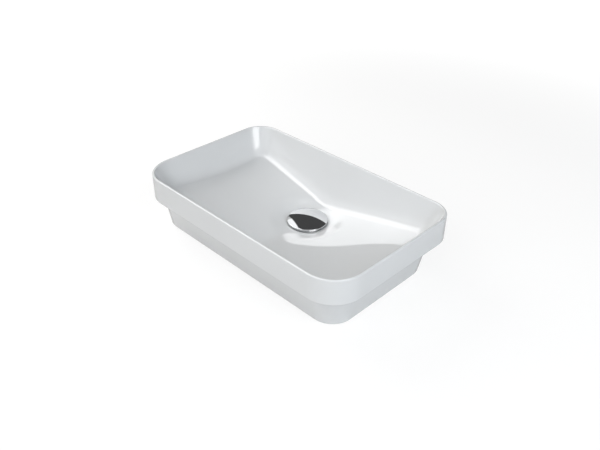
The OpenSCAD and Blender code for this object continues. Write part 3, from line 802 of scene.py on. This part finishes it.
class BASIN_OT_waste(bpy.types.Operator):
    """Cuts the threaded waste with its flange, throat and cross bars"""

    bl_idname = "basin.waste"
    bl_label = "Threaded waste"

    def execute(self, context):
        scene = context.scene
        waste, y = scene.basin_waste, scene.basin_bowl.waste_y
        top, tail = WASTE_HIGH.z, WASTE_LOW.z
        under = top - waste.flange
        outer = (WASTE_HIGH.x - WASTE_LOW.x) / 2
        throat = waste.tube_r - waste.tube
        low, high = tail + NEAR_ROW, under - waste.bare
        bm = bmesh.new()
        thread(bm, waste, low, high)
        bare, root = waste.tube_r - NICK, waste.tube_r - waste.thread - NICK
        neck = waste.neck
        lower = [(root, low, 0), (root - TRIM, tail, NICK), (throat + TRIM, tail, NICK), (throat, low, 0)]
        upper = [
            (throat, under - 2 * neck, 0), (throat, under - neck, SOFT), (throat + neck, under + 2 * NICK, SOFT),
            (outer - waste.dish, top, 2 * FINE), (outer - SOFT, top, 2 * NICK), (outer, top - NEAR_ROW, 2 * NICK),
            (outer, under, TRIM), (bare, under, NICK), (bare, high + FINE, 0), (root, high, 0),
        ]
        for profile in (lower, upper):
            part = bmesh.new()
            wire_profile(part, profile, closed=False)
            spin_profile(part, TUBE_STEPS)
            join_part(bm, part)
        inner = bmesh.ops.create_circle(bm, cap_ends=False, segments=TUBE_STEPS, radius=throat)
        rim = list({e for v in inner["verts"] for e in v.link_edges})
        bmesh.ops.translate(bm, verts=inner["verts"], vec=(0, 0, low))
        out = bmesh.ops.extrude_edge_only(bm, edges=rim)["geom"]
        raised = [g for g in out if isinstance(g, bmesh.types.BMVert)]
        bmesh.ops.translate(bm, verts=raised, vec=(0, 0, under - 2 * neck - low))
        bmesh.ops.remove_doubles(bm, verts=bm.verts, dist=2 * MEET)
        for z in (low, high):
            bmesh.ops.bridge_loops(bm, edges=open_loop(bm, z))
        self.bars(bm, waste, under - waste.bar_drop, throat)
        bmesh.ops.translate(bm, verts=bm.verts, vec=(0, y, 0))
        check_closed(bm, "the waste")
        material = chrome_finish(scene.basin_finish)
        piece = finish_piece(context, bm, "threaded_waste", material, smooth_below=35.0)
        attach(piece, "basin")
        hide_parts("waste_body")
        return {"FINISHED"}

    def bars(self, bm, waste, top, throat):
        """Four bars from the throat to the boss that holds the cartridge."""
        start = waste.boss_r - OVERLAP
        reach = throat + waste.tube / 2 - start
        middle = start + reach / 2
        for turn in range(4):
            cube = bmesh.ops.create_cube(bm, size=1.0)["verts"]
            bmesh.ops.scale(bm, verts=cube, vec=(reach, waste.bar_wide, waste.bar_high))
            bmesh.ops.translate(bm, verts=cube, vec=(middle, 0, top - waste.bar_high / 2))
            bmesh.ops.rotate(bm, verts=cube, cent=(0, 0, 0), matrix=Matrix.Rotation(turn * math.pi / 2, 3, "Z"))
            edges = list({e for v in cube for e in v.link_edges})
            bmesh.ops.bevel(
                bm, geom=edges, offset=FINE, offset_type="OFFSET", segments=3, profile=0.5,
                affect="EDGES", material=-1,
            )
        boss = bmesh.new()
        wire_profile(boss, [
            (waste.barrel_r, top, TRIM), (waste.boss_r, top, FINE),
            (waste.boss_r, top - waste.boss, FINE), (waste.barrel_r, top - waste.boss, TRIM),
        ])
        spin_profile(boss, TUBE_STEPS // 2)
        join_part(bm, boss)


class BASIN_OT_spring(bpy.types.Operator):
    """Winds the spring between the barrel's plug and the rotor"""

    bl_idname = "basin.spring"
    bl_label = "Lift spring"

    def execute(self, context):
        scene = context.scene
        waste, y = scene.basin_waste, scene.basin_bowl.waste_y
        low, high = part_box("lift_spring")
        coil_r = (high.x - low.x) / 2 - waste.wire_r
        rise = high.z - low.z - 2 * waste.wire_r
        bm = bmesh.new()
        wire = bmesh.ops.create_circle(bm, cap_ends=True, segments=WIRE_STEPS, radius=waste.wire_r)["verts"]
        bmesh.ops.rotate(bm, verts=wire, cent=(0, 0, 0), matrix=Matrix.Rotation(math.pi / 2, 3, "X"))
        bmesh.ops.translate(bm, verts=wire, vec=(coil_r, 0, low.z + waste.wire_r))
        count = COIL_STEPS * waste.turns
        geom = bm.verts[:] + bm.edges[:] + bm.faces[:]
        bmesh.ops.spin(
            bm, geom=geom, cent=(0, 0, 0), axis=(0, 0, 1), dvec=(0, 0, rise / count),
            angle=math.tau * waste.turns, steps=count, use_merge=False, use_duplicate=False,
        )
        bmesh.ops.translate(bm, verts=bm.verts, vec=(0, y, 0))
        check_closed(bm, "the spring")
        material = steel_finish(scene.basin_finish)
        piece = finish_piece(context, bm, "wound_spring", material, smooth_below=60.0)
        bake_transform(piece)
        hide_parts("lift_spring")
        return {"FINISHED"}


class BASIN_OT_fittings(bpy.types.Operator):
    """Gives the seals, nuts and cartridge pieces their finishes"""

    bl_idname = "basin.fittings"
    bl_label = "Fittings"

    def execute(self, context):
        look = context.scene.basin_finish
        groups = (
            (rubber_finish(look), ("flange_seal", "cone_washer", "stem_seal", "cap_seal")),
            (plastic_finish(look), ("slip_washer", "cam_sleeve", "plunger", "index_rotor", "cap_core")),
            (brass_finish(look), ("lock_nut", "cartridge_barrel", "barrel_plug")),
            (steel_finish(look), ("cap_stud",)),
        )
        for material, nodes in groups:
            for node in nodes:
                dress(node, material)
        return {"FINISHED"}


# Parts of the room that only the glaze and the chrome mirror: from and to azimuth, from and to elevation, strength
MIRRORED = (
    (116, 239, 1, 66, 0.10),
    (239, 252, 32, 80, 1.75),
    (252, 313, 36, 80, 3.0),
    (57, 95, 22, 48, 3.5),
)
# Half the width of their edges, in radians round the sky and as a share of its height
FEATHER = 0.012
# The room behind them: from and to height, as a share of the sky's, and strength below and above
ROOM = (0.20, 0.52, 0.18, 0.95)
# From and to how far from the middle the floor turns white, and sides of its opening
WHITENS = (0.7, 1.7)
FLOOR_SIDES = 96

# Lamps: name, azimuth, elevation, size, power, colour; all stand at one distance
COOL, PLAIN, WARM = (0.94, 1.0, 1.05), (1.0, 1.0, 0.99), (1.0, 0.985, 0.955)
LAMP_AWAY = 1.6
LAMPS = (
    ("fill_front", 5, 37, (1.4, 1.0), 11.5, PLAIN),
    ("fill_right", 85, 34, (1.4, 1.0), 11.2, COOL),
    ("fill_left", 270, 30, (1.2, 1.0), 16.8, WARM),
    ("fill_end", 90, 50, (0.8, 0.5), 2.6, PLAIN),
)


def seen_rays(f):
    """1 for what the camera, a mirror or a glass sees directly, and 1 for the camera alone."""
    path = f.add("ShaderNodeLightPath")
    camera = path.output("Is Camera Ray")
    direct = camera + path.output("Is Glossy Ray") + path.output("Is Transmission Ray")
    return f.add("ShaderNodeMath", {"operation": "MINIMUM"}, direct, 1.0), camera


def direction(azimuth, elevation):
    flat = math.cos(elevation)
    return Vector((math.sin(azimuth) * flat, -math.cos(azimuth) * flat, math.sin(elevation)))


def between(f, value, low, high):
    """1 from low to high, 0 outside them."""
    rise = f.ramp(value, low - FEATHER, low + FEATHER)
    return rise * f.ramp(value, high - FEATHER, high + FEATHER, 1.0, 0.0)


class BASIN_OT_stage(bpy.types.Operator):
    """Sets the floor, the lamps, the sky and the camera"""

    bl_idname = "basin.stage"
    bl_label = "Stage"

    def execute(self, context):
        scene = context.scene
        studio = scene.basin_studio
        self.floor(context, studio)
        self.sky(scene, studio)
        self.lamps(context)
        self.camera(scene, studio)
        scene.view_settings.view_transform = "Standard"
        return {"FINISHED"}

    def floor(self, context, studio):
        """A wide disc that turns white further out; the waste tail hangs through its opening under the basin."""
        bm = bmesh.new()
        inner = bmesh.ops.create_circle(bm, cap_ends=False, segments=FLOOR_SIDES, radius=1.0)["verts"]
        out = bmesh.ops.extrude_edge_only(bm, edges=bm.edges[:])["geom"]
        rim = [g for g in out if isinstance(g, bmesh.types.BMVert)]
        bmesh.ops.scale(bm, verts=inner, vec=(studio.opening[0], studio.opening[1], 1))
        bmesh.ops.scale(bm, verts=rim, vec=(studio.reach, studio.reach, 1))
        bmesh.ops.translate(bm, verts=bm.verts, vec=(0, 0, BODY_LOW.z - studio.sunk))
        material, f = new_finish("paper")
        direct, camera = seen_rays(f)
        matt = f.add("ShaderNodeBsdfDiffuse", None, Color=opaque(studio.paper))
        light = studio.mirrored + camera * (studio.shown - studio.mirrored)
        white = f.add("ShaderNodeEmission", None, Color=(1, 1, 1, 1), Strength=light)
        away = f.add("ShaderNodeVectorMath", {"operation": "LENGTH"}, f.place()).output("Value")
        glow = direct * f.ramp(away, *WHITENS, studio.glow, 1.0)
        f.add("ShaderNodeOutputMaterial", None, Surface=f.add("ShaderNodeMixShader", None, glow, matt, white))
        floor = finish_piece(context, bm, "floor", material)
        if floor.data.polygons[0].normal.z < 0:
            floor.data.flip_normals()

    def sky(self, scene, studio):
        """Soft light from all round, and for mirror rays alone the room that glaze and chrome show."""
        world = bpy.data.worlds.new("soft_room")
        world.use_nodes = True
        f = Finish(world.node_tree)
        direct, camera = seen_rays(f)
        toward = f.add("ShaderNodeSeparateXYZ", None, Vector=f.add("ShaderNodeTexCoord").output("Generated"))
        across, along, up = (toward.output(axis) for axis in "XYZ")
        turn = f.add("ShaderNodeMath", {"operation": "ARCTAN2"}, across, along)
        wall = f.ramp(up, *ROOM)
        for low, high, bottom, top, strength in MIRRORED:
            sector = between(f, turn, *(math.radians(180 - az) for az in (high, low)))
            inside = sector * between(f, up, *(math.sin(math.radians(el)) for el in (bottom, top)))
            wall = wall * (1.0 - inside) + inside * strength
        soft = f.add("ShaderNodeBackground", None, Color=(0.96, 0.98, 1.0, 1), Strength=studio.sky)
        white = f.add("ShaderNodeBackground", None, Color=(1, 1, 1, 1), Strength=wall * (1.0 - camera) + camera)
        f.add("ShaderNodeOutputWorld", None, Surface=f.add("ShaderNodeMixShader", None, direct, soft, white))
        scene.world = world

    def lamps(self, context):
        """Broad lamps that only light; what the glaze and the chrome mirror is in the sky."""
        for name, az, el, size, power, colour in LAMPS:
            place = direction(math.radians(az), math.radians(el)) * LAMP_AWAY
            self.lamp(context, name, place, size, power, colour)

    def lamp(self, context, name, place, size, power, colour):
        data = bpy.data.lights.new(name, "AREA")
        data.shape = "RECTANGLE"
        data.size, data.size_y = size
        data.energy = power
        data.color = colour
        lamp = bpy.data.objects.new(name, data)
        lamp.location = place
        lamp.rotation_euler = (-place).to_track_quat("-Z", "Y").to_euler()
        lamp.visible_camera = False
        lamp.visible_glossy = False
        context.scene.collection.objects.link(lamp)

    def camera(self, scene, studio):
        data = bpy.data.cameras.new("eye")
        data.lens = studio.focal
        data.sensor_width = 36.0
        data.clip_start, data.clip_end = 0.01, 50.0
        roll = studio.roll
        back = direction(studio.turn, studio.tilt)
        right = (-back).cross(Vector((0, 0, 1))).normalized()
        up = right.cross(-back)
        across = right * math.cos(roll) + up * math.sin(roll)
        upright = up * math.cos(roll) - right * math.sin(roll)
        turned = Matrix((across, upright, back)).transposed()
        eye = bpy.data.objects.new("eye", data)
        eye.matrix_world = Matrix.Translation(Vector(studio.eye)) @ turned.to_4x4()
        scene.collection.objects.link(eye)
        scene.camera = eye


class BASIN_PT_panel(bpy.types.Panel):
    """Lists the sizes, finishes and pieces of the basin"""

    bl_idname = "BASIN_PT_panel"
    bl_label = "Countertop basin"
    bl_space_type = "VIEW_3D"
    bl_region_type = "UI"
    bl_category = "Basin"

    def draw(self, context):
        for name in GROUPS:
            group = getattr(context.scene, name)
            box = self.layout.box()
            box.label(text=type(group).__doc__)
            for key in group.bl_rna.properties.keys():
                if key not in ("rna_type", "name"):
                    box.prop(group, key)
        for operator in OPERATORS:
            self.layout.operator(operator.bl_idname)


GROUPS = {
    "basin_rim": BasinRim,
    "basin_lower": BasinLower,
    "basin_bowl": BasinBowl,
    "basin_waste": BasinWaste,
    "basin_finish": BasinFinish,
    "basin_studio": BasinStudio,
}
OPERATORS = (BASIN_OT_body, BASIN_OT_cap, BASIN_OT_waste, BASIN_OT_spring, BASIN_OT_fittings, BASIN_OT_stage)


def register():
    for name, group in GROUPS.items():
        bpy.utils.register_class(group)
        setattr(bpy.types.Scene, name, PointerProperty(type=group))
    for kind in (*OPERATORS, BASIN_PT_panel):
        bpy.utils.register_class(kind)


def unregister():
    for kind in (BASIN_PT_panel, *reversed(OPERATORS)):
        bpy.utils.unregister_class(kind)
    for name, group in reversed(GROUPS.items()):
        delattr(bpy.types.Scene, name)
        bpy.utils.unregister_class(group)


def main():
    register()
    bpy.ops.basin.body()
    bpy.ops.basin.cap()
    bpy.ops.basin.waste()
    bpy.ops.basin.spring()
    bpy.ops.basin.fittings()
    bpy.ops.basin.stage()


if __name__ == "__main__":
    main()
